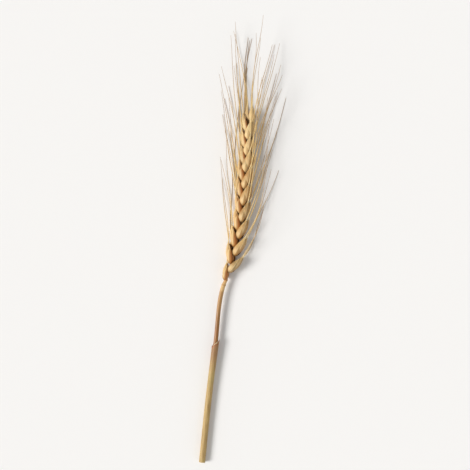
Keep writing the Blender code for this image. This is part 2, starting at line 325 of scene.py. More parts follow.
def piece_of(name, points, faces, finish, slot, nodes, marks=None, keys=(), sharp=50):
    """An object from points and faces, with its material, that rides on the frame and stands for the
    nodes named. A point's row of marks holds its places around and along the piece, for the UV map,
    then a number for each key. Edges over so many degrees stay sharp."""
    volume = enclosed(points, faces)
    faces = [group if volume > 0 else group[:, ::-1] for group in faces]
    mesh = bpy.data.meshes.new(name)
    corners = np.concatenate([group.ravel() for group in faces])
    sizes = np.concatenate([np.full(len(group), group.shape[1]) for group in faces])
    mesh.vertices.add(len(points))
    mesh.vertices.foreach_set("co", np.ascontiguousarray(points, np.float32).ravel())
    mesh.loops.add(len(corners))
    mesh.loops.foreach_set("vertex_index", corners.astype(np.int32))
    mesh.polygons.add(len(sizes))
    mesh.polygons.foreach_set("loop_start", (np.cumsum(sizes) - sizes).astype(np.int32))
    mesh.update(calc_edges=True)
    if marks is not None:
        u = [marks[group, 0] for group in faces]
        u = [np.where((g.max(1) - g.min(1) > 0.5)[:, None] & (g < 0.5), g + 1, g).ravel() for g in u]
        uv = np.stack((np.concatenate(u), marks[corners, 1]), -1)
        mesh.uv_layers.new(name="Lay").data.foreach_set("uv", uv.astype(np.float32).ravel())
    for i, key in enumerate(keys, 2):
        values = marks[:, i].astype(np.float32)
        mesh.attributes.new(key, "FLOAT", "POINT").data.foreach_set("value", values)
    if mesh.validate():
        print("mended faces on", name)
    mesh.shade_smooth()
    mesh.set_sharp_from_angle(angle=sharp * DEG)
    piece = bpy.data.objects.new(name, mesh)
    scene.collection.objects.link(piece)
    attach(piece, "root")
    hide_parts(*nodes)
    mesh.materials.append(finish)
    print(f"{name}: {int((sizes - 2).sum())} triangles, {abs(volume) / MM**3:.1f} mm3")


# %% [markdown]
# ## Writing materials as sums
# A procedural finish is arithmetic on masks: a nerve here, a darker foot there. `Wire` wraps a node's
# output so that `1 - 0.3 * mask` adds its Math nodes by itself. Any other node comes from `Wire.node`,
# which takes the node's type, then its settings, then the values or links of its sockets. A colour is a
# base with layers laid over it, each a mask and the colour that it brings.


# %% Wires
class Wire:
    """A socket that gives a number, colour or vector, in a material's node tree."""

    def __init__(self, tree, socket=None):
        self.tree, self.socket = tree, socket

    def node(self, kind, settings=(), inputs=(), output=0):
        made = self.tree.nodes.new(kind)
        for name, value in dict(settings).items():
            setattr(made, name, value)
        for name, value in dict(inputs).items():
            if isinstance(value, Wire):
                self.tree.links.new(value.socket, made.inputs[name])
            else:
                made.inputs[name].default_value = value
        return Wire(self.tree, made.outputs[output])

    def sum_of(self, operation, *values):
        return self.node("ShaderNodeMath", {"operation": operation}, dict(enumerate(values)))

    def __add__(self, other):
        return self.sum_of("ADD", self, other)

    def __sub__(self, other):
        return self.sum_of("SUBTRACT", self, other)

    def __rsub__(self, other):
        return self.sum_of("SUBTRACT", other, self)

    def __mul__(self, other):
        return self.sum_of("MULTIPLY", self, other)

    __radd__, __rmul__ = __add__, __mul__

    def sine(self):
        return self.sum_of("SINE", self)

    def clamped(self):
        return self.sum_of("MINIMUM", self.sum_of("MAXIMUM", self, 0.0), 1.0)

    def eased(self, low, high):
        """0 below low and 1 above high, with a smooth step between; high may be the lower one."""
        return self.node(
            "ShaderNodeMapRange", {"interpolation_type": "SMOOTHSTEP"}, {0: self, 1: low, 2: high}
        )

    def tint(self, below, above):
        """Mixes two colours by this mask: below where it is 0, above where it is 1."""
        return self.node("ShaderNodeMix", {"data_type": "RGBA"}, {0: self, 6: below, 7: above}, 2)

    def layered(self, *layers):
        """This colour with layers (mask, colour) mixed over it one after another."""
        colour = self
        for mask, over in layers:
            colour = mask.tint(colour, over)
        return colour

    def mark(self, name):
        """A number that the mesh keeps for each point."""
        return self.node("ShaderNodeAttribute", {"attribute_name": name}, output="Fac")

    def lay(self):
        """Shares around and along the piece, from its UV map."""
        uv = self.node("ShaderNodeUVMap", {"uv_map": "Lay"})
        apart = self.node("ShaderNodeSeparateXYZ", inputs={0: uv})
        return apart, Wire(self.tree, apart.socket.node.outputs[1])

    def noise(self, place, cells, detail):
        """Noise of so many cells a unit of place."""
        return self.node("ShaderNodeTexNoise", inputs={"Vector": place, "Scale": cells, "Detail": detail})

    def fibres(self, around, along, draw=0.0, detail=3.0):
        """Noise drawn out along the piece: so many cells round it and for each unit of its length."""
        u, v = self.lay()
        place = self.node("ShaderNodeCombineXYZ", inputs={0: u * around, 1: v * along, 2: draw})
        return self.noise(place, 1.0, detail)

    def mottle(self, cells):
        """Noise of so many cells a metre, fixed to the object."""
        return self.noise(self.node("ShaderNodeTexCoord", output="Object"), cells, 2.0)

    def ridges(self, count, sharpness=1.0):
        """So many ridges round the piece, 1 on each crest: (1 + sin) / 2 to a power."""
        around, _ = self.lay()
        wave = 0.5 + 0.5 * (around * (2 * math.pi * count)).sine()
        return self.sum_of("POWER", wave, sharpness)


def paints(codes):
    """Colours like B97A3C, with spaces between, in the linear values that a shader takes."""
    values = np.array([list(bytes.fromhex(code)) for code in codes.split()]) / 255
    linear = np.where(values > 0.04045, ((values + 0.055) / 1.055) ** 2.4, values / 12.92)
    return [(*row, 1.0) for row in linear.tolist()]


def finish_of(name, colour, roughness, height, relief, depth, shine=0.5):
    """A Principled material from functions of a Wire: its colour, its roughness and its relief, whose
    strength and depth in metres scale the height. shine is the level of its mirrored light."""
    material = bpy.data.materials.new(name)
    material.use_nodes = True
    tree = material.node_tree
    shader = tree.nodes["Principled BSDF"]
    shader.inputs["Specular IOR Level"].default_value = shine
    wire = Wire(tree)
    bumps = {"Strength": relief, "Distance": depth, "Height": height(wire)}
    bump = wire.node("ShaderNodeBump", inputs=bumps)
    links = {"Base Color": colour(wire), "Roughness": roughness(wire), "Normal": bump}
    for socket, value in links.items():
        tree.links.new(value.socket, shader.inputs[socket])
    print("finish", name, "has", len(tree.nodes), "nodes")
    return material


# %% [markdown]
# ## The finish of a dry husk
# A ripe husk is straw-coloured and browner at its foot, bleached on its papery margins, and paler at
# its tip and along its keel: partly bleached, partly painted highlight. Nerves run up it and rows of
# tiny silica hairs stipple it.
# The sides that face the rachis get painted shade in warm amber, and those that look outwards get painted
# highlight in cream, as do the feet of the row on the right: one mark says both, above and below nought.
# The pattern follows the husk, so it reads the UV map, and each husk's tone shifts the whole of it,
# from cream to khaki.

# %% Husk finish
FOOT_BROWN, HUSK_GOLD, HUSK_PALE = paints("84501F B27D3C DEBA79")
# the first colour of this line is painted shade, and the last colour of the next line painted highlight
SHADE_AMBER, KHAKI, TAWNY, OCHRE = paints("A05A1A 918059 A26C30 AE7B3F")
HAIR_BROWN, SPECK_BROWN, HIGHLIGHT_CREAM = paints("80592F 7A4C22 EBCC93")
NERVE_CREAM, MARGIN_CREAM, KEEL_CREAM_AND_HIGHLIGHT, TIP_CREAM_AND_HIGHLIGHT = paints("ECCF92 F0DCAC F6E3B4 F4E2B0")
KEEL_WIDTH = 0.024  # a share of the way round
NERVES = 15  # round a whole husk, of which half or less shows


def fibre_of(wire):
    """Long streaks, drawn anew for each husk's tone."""
    return wire.fibres(46, 5, wire.mark("tone") * 37)


def stipple_of(wire):
    """Rows of short hairs, finer than the nerves and missing in places."""
    u, v = wire.lay()
    rows = ((u * 230).sine() * (v * 230 + (u * 115).sine() * 2).sine()).clamped()
    return rows * wire.mottle(1600).eased(0.4, 0.62) * (1 - v.eased(0.7, 0.95))


def keel_mask(wire):
    """A thin line down the back, 1 on the keel: smooth from KEEL_WIDTH away up to the middle."""
    u, _ = wire.lay()
    return wire.sum_of("ABSOLUTE", u - 0.5).eased(KEEL_WIDTH, 0.0)


def husk_colour(wire):
    """From brown foot to gold, then each husk's own tone, then fine marks, then painted highlight and
    shade.
    """
    _, v = wire.lay()
    tone, fibre, height = wire.mark("tone"), fibre_of(wire), wire.mark("height")
    ripe = (v + (fibre - 0.5) * 0.5).eased(-0.06, 0.2).tint(FOOT_BROWN, HUSK_GOLD)
    return ripe.layered(
        # paler towards the tip, partly bleached and partly painted highlight
        ((v + fibre * 0.3 - tone * 0.25).eased(0.5, 1.05), HUSK_PALE),
        ((tone * 12.6).sine().eased(0.2, 1.0) * 0.4, TAWNY),
        (tone.eased(0.7, 0.95) * 0.65 * wire.mottle(900).eased(0.25, 0.55), KHAKI),
        (height.eased(0.12, 0.4) * height.eased(0.75, 0.5) * 0.34, TAWNY),
        (fibre.eased(0.5, 0.75) * 0.5, OCHRE),
        (wire.ridges(NERVES, 6.0) * fibre.eased(0.25, 0.6) * 0.5, NERVE_CREAM),
        (stipple_of(wire) * 0.35, HAIR_BROWN),
        (wire.mottle(2300).eased(0.66, 0.74) * 0.35, SPECK_BROWN),
        (wire.mark("margin") * 0.55, MARGIN_CREAM),
        # a pale keel line, partly the keel's own paler colour and partly painted highlight
        (keel_mask(wire) * v.eased(0.08, 0.3) * 0.6, KEEL_CREAM_AND_HIGHLIGHT),
        # paler tips, partly bleached and partly painted highlight, and paler towards the ear's top
        (v.eased(0.88, 1.0) * 0.6 + height.eased(0.55, 1.0) * 0.4, TIP_CREAM_AND_HIGHLIGHT),
        # painted highlight in cream, then painted shade in amber, from the one mark of painted light
        (wire.mark("amber") * -0.7, HIGHLIGHT_CREAM),
        (wire.mark("amber") * 0.85, SHADE_AMBER),
    )


husk_finish = finish_of(
    "dry_husk", husk_colour,
    lambda wire: 0.36 + 0.25 * fibre_of(wire),
    lambda wire: wire.ridges(NERVES, 2.0) * 0.7 + fibre_of(wire) * 0.6 + stipple_of(wire) * 0.2,
    relief=0.55, depth=0.12 * MM, shine=0.45,
)

# %% [markdown]
# ## Glumes and lemmas
# A husk is a boat: thin, half wrapped round the grain, with a keel down its back. Its section is half an
# ellipse, as wide as a circle would be at that share of the length, and narrowed towards the tip. The
# same rule shapes both kinds. A glume stops at a short curved beak and leaves its outer margin free on
# the lemma beside it, and a lemma wraps further round and runs out into its awn.

# %% The boat
HUSK_RINGS, HUSK_COLUMNS = 26, 15
HUSK_WALL = 0.14 * MM
AWN_ROOT = 0.26 * MM  # radius
TAPER = 0.62  # how much narrower than an ellipse a husk gets at its tip
RIDGE_SPREAD = 0.2  # of the keel, in radians
INNER_DEPTH = 0.6  # of a husk past its widest, as a share of its outer depth
# levels of painted shade for the husks' insides and for the paleas
INSIDE_SHADE, PALEA_SHADE = 0.6, 0.55
GLUME_FORM = dict(stem=0.16 * MM, keel=0.1, fullness=1.04, beak=0.9 * MM)
LEMMA_FORM = dict(stem=AWN_ROOT * 1.1, keel=0.05, fullness=0.97)


def crowded(first, last, count):
    """Shares of a length that crowd at its ends: (1 - cos(a)) / 2, a going from first to pi - last."""
    a = np.linspace(first, np.pi - last, count)
    return ((1 - np.cos(a)) / 2)[None, :, None]


def boat_section(h, t, stem):
    """Half-width, depth and bow of the husks h at shares t of their length. The first two are those of
    an ellipse, 2 sqrt(t (1 - t)), narrowed by 1 - TAPER t^2.2, and near the tip those of a stem."""
    swell = 2 * np.sqrt(t * (1 - t)) * (1 - TAPER * t**2.2)
    stem = stem * ease(0.55, 1, t)
    bow = h.depth * (0.28 * np.sin(np.pi * t) - 0.1 * (1 - t**4))
    return np.hypot(h.half_width * swell, stem), np.hypot(h.depth * swell, stem), bow


def boat_point(h, t, turn, stem, keel, fullness, beak=0.0, inset=0.0):
    """Points of the husks h at shares t of their length and angles turn round their backs, 0 on the
    keel. The section's height is depth * cos(turn), raised on the keel, and its sideways reach is
    half_width * sin(turn). inset draws it in by a wall's thickness."""
    wide, deep, bow = boat_section(h, t, stem)
    wide, deep = wide * fullness, deep * fullness
    thin = np.minimum(inset, 0.45 * wide)
    ridge = 1 + keel * bell(turn, RIDGE_SPREAD) * ease(0.02, 0.2, t)
    high = np.cos(turn) * (deep - thin) * ridge
    high = np.where(high > 0, high, INNER_DEPTH * high) + bow
    sideways = np.sin(turn) * (wide - thin)
    further = h.length * t + beak * h.size * ease(0.86, 1, t) * np.cos(turn).clip(0) ** 2
    points = h.foot + h.along * further[..., None]
    return points + h.across * sideways[..., None] + h.back * high[..., None]


def flattened(points, floor):
    """Presses what lies lowest flat on the surface, as a ripe ear's own weight does."""
    points[..., 2] = np.maximum(points[..., 2], floor)
    return points


def painted_light_on(h, inward, w, t):
    """The mark of painted light: above nought for painted shade in amber, and below it for painted
    highlight in cream. inward says how far a point faces the rachis, from -1 to 1, and w where it is
    between the margins. On the left row the inner sides get painted shade and the outer ones painted
    highlight. On the right row the keels and the inner sides of the feet get painted highlight."""
    left, right = h.left, 1 - h.left
    amber = ease(-0.28, 0.18, inward) * (0.2 + 0.8 * left) * (1 - 0.5 * ease(0.6, 1, t))
    outer, keel = ease(-0.15, -0.55, inward), 0.55 * bell(w, 0.45)
    foot = ease(-0.35, 0.3, inward) * ease(0.75, 0.35, t)
    return amber - 0.7 * ease(0.05, 0.35, t) * (left * outer + right * keel) - 0.8 * right * foot


def husks_of(name, h, reach_out, reach_in, floor, form):
    """Thin boats as lofts. Their rings run over the outside from one margin to the other and back
    inside. reach_out and reach_in are how far round the husk goes at each margin, by t. floor is how
    low the outside may be: one husk pressed under another lies on it."""
    t = crowded(0.16, 0.1, HUSK_RINGS)
    w = np.linspace(-1, 1, HUSK_COLUMNS)
    flutter = 1 + 0.03 * np.sin(9 * t + 40 * h.tone) * np.abs(w) ** 4
    turn = w * np.where(w * h.hand < 0, reach_out(t), reach_in(t)) * flutter
    wall = HUSK_WALL * (1 - 0.55 * np.abs(w) ** 3)
    outer = flattened(boat_point(h, t, turn, **form), floor)
    inner = flattened(boat_point(h, t, turn * 0.985, inset=wall, **form), floor + 0.05 * MM)
    inward = -(towards(turn, h.back, h.across) * unit(h.out * (1, 1, 0))).sum(-1)
    papery = ease(0.8, 1.0, np.abs(w)) * ease(0.1, 0.3, t)
    marks = stacked(
        turn / (2 * np.pi) + 0.5, t, painted_light_on(h, inward, w, t), h.tone, papery, h.share
    )
    inside = marks.copy()
    # the husks' insides get at least this much painted shade
    inside[..., 2] = np.maximum(inside[..., 2], INSIDE_SHADE)
    rings = np.concatenate((outer, inner[:, :, ::-1]), 2)
    marks = with_poles(np.concatenate((marks, inside[:, :, ::-1]), 2))
    keys = ("amber", "tone", "margin", "height")
    piece_of(name, *lofts(rings), husk_finish, "husk", ["ear"], marks, keys)


def free_margin(t):
    """A glume's outer margin: nearly a quarter turn from the keel at its foot, and half that above."""
    return (95 - 55 * ease(0.05, 0.4, t)) * DEG


def lemma_margin(t):
    """Either margin of a lemma, which closes round the awn's root at its tip."""
    return (128 - 8 * t + 56 * ease(0.72, 0.97, t)) * DEG


husks_of("glumes", glumes, free_margin, lambda t: 108 * DEG, 0.0, GLUME_FORM)
husks_of("lemmas", lemmas, lemma_margin, lemma_margin, 0.12 * MM, LEMMA_FORM)

# %% [markdown]
# ## Paleas
# Inside each lemma, on the side towards the rachis, a second, softer husk closes over the grain. It is
# seen only from the back and below, as a smooth almond with two low keels, so a closed loft with the
# lemma's own section, drawn in, is enough.

# %% Paleas
PALEA_RINGS, PALEA_SIDES = 14, 16
t = crowded(0.2, 0.2, PALEA_RINGS)
share = 0.03 + 0.87 * t  # of the lemma's length
turn = np.linspace(-np.pi, np.pi, PALEA_SIDES, endpoint=False)
wide, deep, bow = boat_section(lemmas, share, 0.0)
two_keels = 1 + 0.1 * bell(np.abs(turn) - 2.4, 0.3)
high = np.where(np.cos(turn) > 0, 0.8, 0.5) * np.cos(turn) * deep * two_keels + bow
sideways = 0.8 * np.sin(turn) * wide * two_keels
rings = lemmas.foot + lemmas.along * (lemmas.length * share)[..., None]
rings = rings + lemmas.across * sideways[..., None] + lemmas.back * high[..., None]
rings = flattened(rings, 0.3 * MM)
# the paleas, tucked between the husks, get painted shade
marks = with_poles(stacked(turn / (2 * np.pi) + 0.5, t, PALEA_SHADE, lemmas.tone))
piece_of("paleas", *lofts(rings), husk_finish, "husk", ["ear"], marks, ("amber", "tone"))

# %% [markdown]
# ## Awns
# An awn goes on from its lemma's tip and bends, over its first third, towards where the ear points. Its
# course is a straight start that dies away exponentially and an end direction that takes over. It is
# three-cornered, thins to a hair, and those below lie along the table.

# %% Awns
AWN_RINGS, AWN_SIDES = 44, 6
AWN_BEND = 3
AWN_TIP, AWN_POINT = 0.07 * MM, 0.4 * MM  # radius before the point, and the point's length
AWN_WAVES, AWN_SWAY = 5.5, 0.018  # radians along an awn, and a share of its length
FLOOR_GAP, FLOOR_SOFTNESS = 0.03 * MM, 0.8 * MM
AWN_STRAW, AWN_GREY, AWN_STREAK, AWN_FOOT = paints("E5C583 A28055 8E6433 EBD6A4")


def awn_course(h, t):
    """Points at shares t of the awns: start + (along * a + end * (t - a)) * length, where
    a = (1 - exp(-AWN_BEND t)) / AWN_BEND, with slow waves added that leave both ends where they are,
    and eased up to lie on the surface."""
    t = t[..., None]
    a = (1 - np.exp(-AWN_BEND * t)) / AWN_BEND
    start = h.foot + h.along * h.length[..., None]
    length = h.awn
    course = start + (h.along * a[..., None] + h.end * (t - a)[..., None]) * length[..., None]
    phase = h.tone * 50
    sway = np.sin(AWN_WAVES * t + phase) - np.sin(phase) * (1 - t) - np.sin(AWN_WAVES + phase) * t
    course = course + h.across * (sway * AWN_SWAY * length)[..., None]
    clear = awn_radius(t) + FLOOR_GAP
    lift = np.logaddexp(0, (course[..., 2] - clear) / FLOOR_SOFTNESS)
    course[..., 2] = clear + FLOOR_SOFTNESS * lift
    return course[:, :, 0]


def awn_radius(t):
    """The root's radius, thinned by t^0.75 to the tip's."""
    return AWN_ROOT - (AWN_ROOT - AWN_TIP) * np.clip(t, 0, 1) ** 0.75


def awn_frame(h, course):
    """Directions along, back and across at each point of the awns' courses."""
    along, back = unit(np.gradient(course, axis=1)), h.back[:, :, 0]
    back = square_to(along, back)
    return along, back, np.cross(along, back)


def awn_colour(wire):
    """Straw-coloured, greyer towards the tip, streaked, and pale where it leaves the lemma."""
    _, v = wire.lay()
    tone = wire.mark("tone")
    streak = wire.fibres(6, 30, tone * 40, detail=2.0)
    greyed = (v * 1.1 + streak * 0.5 + tone * 0.2).eased(0.45, 1.35)
    return greyed.tint(AWN_STRAW, AWN_GREY).layered(
        (streak.eased(0.45, 0.7) * 0.35, AWN_STREAK),
        ((v + streak * 0.03).eased(0.09, 0.0), AWN_FOOT),
    )


awn_finish = finish_of(
    "awn", awn_colour, lambda wire: 0.35 + 0.2 * wire.mottle(1500),
    lambda wire: wire.mottle(9000), relief=0.3, depth=0.03 * MM,
)

t = np.concatenate(((-0.03,), np.linspace(0, 1, AWN_RINGS - 1)))[None]  # from just inside the lemma
course = awn_course(lemmas, t)
_, back, across = awn_frame(lemmas, course)
turn = evenly(AWN_SIDES)
radius = awn_radius(t)[..., None] * (1 + 0.16 * np.cos(3 * turn))
rings = course[:, :, None] + towards(turn, back[:, :, None], across[:, :, None]) * radius[..., None]
tip = course[:, -1] + unit(course[:, -1] - course[:, -2]) * AWN_POINT
marks = with_poles(stacked(turn / (2 * np.pi), t[..., None], lemmas.tone))
piece_of("awns", *lofts(rings, tip), awn_finish, "husk", ["ear"], marks, ("tone",), sharp=100)

# %% [markdown]
# ## Barbs and hairs
# An awn is rough to the fingers because rows of barbs point up it, a glume's keel is rough with stiff
# bristles, and the rachis has soft hairs on its edges. Each is a three-sided spike of two joints and
# seven points, cheap enough to repeat hundreds of times.


# %% Spikes
def spikes_of(name, keep, root, ahead, aside, length, radius, bend, finish, slot="husk", nodes=("ear",)):
    """Three-sided spikes at the roots (..., 3) where keep is true, with one length and radius for all
    or for each. A spike's middle is at 0.5 length along ahead, 0.6 as thick as its root, and its tip is
    moved aside by bend * length."""
    root, ahead, aside = (np.broadcast_to(way, root.shape)[keep] for way in (root, ahead, aside))
    length, radius = (np.broadcast_to(size, len(root))[:, None, None] for size in (length, radius))
    across = unit(np.cross(ahead, aside))
    around = towards(evenly(3), across[:, None], unit(aside)[:, None]) * radius
    root, ahead, moved = root[:, None], ahead[:, None] * length, aside[:, None] * length * bend
    middle = root + ahead * 0.5 + moved * 0.25 + around * 0.6
    points = np.concatenate((root + around, middle, root + ahead + moved), 1).reshape(-1, 3)
    step = (np.arange(len(root)) * 7)[:, None, None]
    quads = np.array(((0, 1, 4, 3), (1, 2, 5, 4), (2, 0, 3, 5)))
    ends = np.array(((3, 4, 6), (4, 5, 6), (5, 3, 6), (2, 1, 0)))
    faces = [(quads + step).reshape(-1, 4), (ends + step).reshape(-1, 3)]
    piece_of(name, points, faces, finish, slot, nodes, sharp=80)


HAIR_CREAM, HAIR_STRAW = paints("E8D3A2 CFAE76")
hair_finish = finish_of(
    "pale_hair", lambda wire: wire.mottle(600).eased(0.35, 0.65).tint(HAIR_CREAM, HAIR_STRAW),
    lambda wire: 0.4 + 0.2 * wire.mottle(900), lambda wire: wire.mottle(9000),
    relief=0.2, depth=0.02 * MM,
)

# %% Barbs on the awns
BARBS = 42  # on each awn
BARB_LENGTH = 0.42 * MM
barbs = np.random.default_rng(8)
at = np.linspace(0.02, 0.96, BARBS) + barbs.uniform(-0.008, 0.008, (len(course), BARBS))
course = awn_course(lemmas, at)
along, back, across = awn_frame(lemmas, course)
aside = towards(evenly(3)[barbs.integers(0, 3, at.shape)], back, across)
root = course + aside * (awn_radius(at) * 0.8)[..., None]
keep = (root + aside * 0.1 * MM)[..., 2] > 0.15 * MM
radii = (awn_radius(at) * 0.22)[keep]
spikes_of("awn_barbs", keep, root, along, aside, BARB_LENGTH, radii, 0.3, awn_finish)

# %% Bristles on the glumes' keels
BRISTLES = 16  # on each keel
BRISTLE_RADIUS = 0.02 * MM
at = np.linspace(0.3, 0.97, BRISTLES) + barbs.uniform(-0.015, 0.015, (len(made[GLUME]), BRISTLES))
at = at[:, :, None]
root = boat_point(glumes, at, 0 * at, inset=BRISTLE_RADIUS, **GLUME_FORM)[:, :, 0]
ahead = unit(glumes.along + 0.35 * glumes.back)[:, :, 0]
aside = glumes.back[:, :, 0]
keep = root[..., 2] > 0.3 * MM
lengths = barbs.uniform(0.22, 0.42, keep.sum()) * MM
spikes_of("keel_bristles", keep, root, ahead, aside, lengths, BRISTLE_RADIUS, 0.1, hair_finish)

# %% [markdown]
# ## The rachis
# Take the spikelets off a ripe ear and a zigzag of flattened joints is left, each widening to a rim
# under the spikelet it carries. Here it is a loft along the stalk: the line sways at the nodes, the
# section is an ellipse turned with the rows, and its radius swells at every node. A raised collar marks
# where the ear begins. Each spikelet stands on a short, round foot.

# %% The rachis as rings
RACHIS_RINGS, RACHIS_SIDES = 190, 16
RACHIS_SWAY = 0.3 * MM
CULM_RADIUS = 1.15 * MM
COLLAR_PLACE, COLLAR_WIDTH = 1.1 * MM, 0.35 * MM
nodes_y = np.array([0.0, *(FIRST_NODE + INTERNODE * k for k in range(SPIKELETS))])
node_radius = np.array([CULM_RADIUS, *np.linspace(0.9 * MM, RACHIS_RADIUS, SPIKELETS)])
node_sway = np.array([0.0, *(RACHIS_SWAY * (-1) ** k for k in range(SPIKELETS))])
y = np.linspace(-0.8 * MM, nodes_y[-1], RACHIS_RINGS)
along, side, up = stalk_frame(y)
twist = np.interp(y, (FIRST_NODE, nodes_y[-1]), TWIST)
out = towards(-twist, side, up)
fan = np.cross(out, along)
line = stalk_point(y) + side * np.interp(y, nodes_y, node_sway)[:, None]
joint = ((y - FIRST_NODE) / INTERNODE) % 1
rim = bell(np.minimum(joint, 1 - joint), 0.1) * ease(1 * MM, 3 * MM, y)
collar = bell(y - COLLAR_PLACE, COLLAR_WIDTH)
girth = np.interp(y, nodes_y, node_radius)
girth = girth * (1.03 - 0.1 * ease(0, 8 * MM, y) + 0.25 * rim + 0.12 * collar)
flat = ease(5 * MM, 16 * MM, y)
thin, wide = (girth * (1 - 0.3 * flat))[:, None], (girth * (1 + 0.2 * flat))[:, None]
turn = evenly(RACHIS_SIDES)
rings = line[:, None] + towards(turn, (out * thin)[:, None], (fan * wide)[:, None])
stem_marks = stacked(turn / (2 * np.pi), (y / CM)[:, None], (rim + collar)[:, None])

# %% The spikelets' feet
FOOT_RINGS, FOOT_SIDES = 7, 12
FOOT_RADIUS, FOOT_RISE = 1.12 * MM, 0.6 * MM
lean = np.linspace(0.35, np.pi - 0.35, FOOT_RINGS)[:, None]
spin = evenly(FOOT_SIDES)
root, axis, out, fan, _, size, _, _ = (np.array(field)[:, None, None] for field in zip(*spikelets))
round_foot = towards(lean, -axis, towards(spin, out, fan)) * (size * FOOT_RADIUS)[..., None]
feet = root + axis * FOOT_RISE + round_foot
feet_marks = stacked(spin / (2 * np.pi), lean / 8, 0.5 + 0 * size)

# %% The rachis in one piece
FOOT_TAN, FOOT_CREAM = paints("BE9156 DFC088")
RACHIS_TAN, RACHIS_GOLD, NODE_BROWN = paints("B4712F D29A54 8E5524")


def foot_colour(fibre):
    """The pale straw colour that the rachis and the straw share where they meet."""
    return fibre.eased(0.3, 0.7).tint(FOOT_TAN, FOOT_CREAM)


def rachis_colour(wire):
    """Pale at the collar, golden above it and brown on the rims."""
    _, v = wire.lay()
    fibre = wire.fibres(26, 3)
    return foot_colour(fibre).layered(
        ((v + fibre * 0.2).eased(0.15, 0.75), fibre.eased(0.3, 0.7).tint(RACHIS_TAN, RACHIS_GOLD)),
        (wire.mark("node") * 0.5, NODE_BROWN),
    )


rachis_finish = finish_of(
    "rachis", rachis_colour, lambda wire: 0.38 + 0.25 * wire.mottle(1200),
    lambda wire: wire.mottle(4000), relief=0.4, depth=0.06 * MM,
)
(stem, stem_faces), (feet, feet_faces) = lofts(rings[None]), lofts(feet)
faces = stem_faces + [group + len(stem) for group in feet_faces]
marks = np.concatenate((with_poles(stem_marks[None]), with_poles(feet_marks)))
points = np.concatenate((stem, feet))
piece_of("rachis", points, faces, rachis_finish, "husk", ["ear"], marks, ("node",))

# %% Hairs at the rachis nodes
HAIRS = 34  # at each node
HAIR_RADIUS = 0.022 * MM
hairs = np.random.default_rng(21)
count = (SPIKELETS, HAIRS)
place = hairs.uniform(-0.55, 0.35, count) * MM
node_y = (FIRST_NODE + INTERNODE * np.arange(SPIKELETS))[:, None] + place
along, side, up = stalk_frame(node_y)
edge = np.where(hairs.uniform(size=count) < 0.5, 1, -1)
angle = edge * np.pi / 2 + hairs.normal(0, 0.5, count)
aside = towards(angle, side, up)
sway, girth = (np.interp(node_y, nodes_y, values)[..., None] for values in (node_sway, node_radius))
root = stalk_point(node_y) + side * sway + aside * girth * 0.9
ahead = unit(along + aside * hairs.uniform(0.2, 0.7, count)[..., None])
lengths = hairs.uniform(0.6, 1.3, place.size) * MM
everywhere = np.ones(count, bool)
spikes_of("rachis_hairs", everywhere, root, ahead, aside, lengths, HAIR_RADIUS, 0.15, hair_finish)

# %% [markdown]
# ## The straw
# Under the ear the stem is bare, round and glossy, with fine grooves between its fibres, and it is a
# little thicker inside the sheath. It was cut square with a blade, so its end shows a fibrous rim round
# a hollow. One closed loft does all of it, down the outside to the rim and on into the hollow.

# %% Straw
STEM_RINGS, BORE_RINGS, STRAW_SIDES = 141, 5, 30
BORE_DEPTH = 9 * MM
RIM = np.array((  # height over the cut in mm, share of the radius, and how much of it is pale pith
    (0.2, 0.995, 0.0), (0.02, 0.97, 0.5), (0.0, 0.84, 0.9), (0.02, 0.66, 1.0),
))
turn = evenly(STRAW_SIDES)
top, cut = 0.3 * MM, STALK_Y[0]
y = np.concatenate((
    np.linspace(top, cut + 0.4 * MM, STEM_RINGS), cut + RIM[:, 0] * MM,
    np.linspace(cut + 0.3 * MM, cut + BORE_DEPTH, BORE_RINGS),
))
pith = np.concatenate((np.zeros(STEM_RINGS), RIM[:, 2], np.ones(BORE_RINGS)))
radius = np.concatenate((np.ones(STEM_RINGS), RIM[:, 1], np.linspace(0.62, 0.56, BORE_RINGS)))
radius = radius * CULM_RADIUS
radius = radius * (1 + 0.012 * wander(y / MM, 3, pace=0.11)) * (1 - 0.06 * ease(-1.5 * MM, top, y))
radius = radius * (1 + 0.13 * ease(-34 * MM, -46 * MM, y))
ragged = 0.07 * MM * wander(turn, 12, 7)[None, :] * bell(y - cut, 0.2 * MM)[:, None]
along, side, up = stalk_frame(y)
ribs = 1 + 0.012 * np.cos(9 * turn + wander(y[:, None] / MM, 4, 3, 0.05))
reach = radius[:, None] * ribs * (1 + 0.025 * np.cos(2 * turn + 0.6))
rings = stalk_point(y)[:, None] + along[:, None] * ragged[..., None]
rings = rings + towards(turn, side[:, None], up[:, None]) * reach[..., None]

STRAW_BROWN, STRAW_GOLD, STRAW_PATCH = paints("74461F AA783D 985B26")
STRAW_CREAM, PITH_CREAM = paints("DDB67A EBDDB8")


def straw_fibre(wire, fine=70.0):
    """Fibres that run on for centimetres, about fine of them round the straw."""
    return wire.fibres(fine, 1.6, detail=4.0)


def straw_colour(wire):
    """Brown and gold fibres, paler towards the ear, and the pith of the cut end."""
    _, v = wire.lay()
    fibre = straw_fibre(wire)
    return fibre.eased(0.25, 0.75).tint(STRAW_BROWN, STRAW_GOLD).layered(
        (wire.mottle(120).eased(0.45, 0.7) * 0.5, STRAW_PATCH),
        (v.eased(-2.2, -0.6) * 0.3, STRAW_CREAM),
        ((v + fibre * 0.06).eased(-0.3, -0.05), foot_colour(fibre)),
        (wire.mark("pith"), PITH_CREAM),
    )


straw_finish = finish_of(
    "glossy_straw", straw_colour, lambda wire: 0.24 + 0.25 * straw_fibre(wire, 40.0),
    lambda wire: straw_fibre(wire, 110.0), relief=0.35, depth=0.08 * MM,
    shine=0.55,
)
marks = with_poles(stacked(turn / (2 * np.pi), (y / CM)[:, None], pith[:, None])[None])
piece_of("straw_stem", *lofts(rings[None]), straw_finish, "straw", ["straw"], marks, ("pith",))

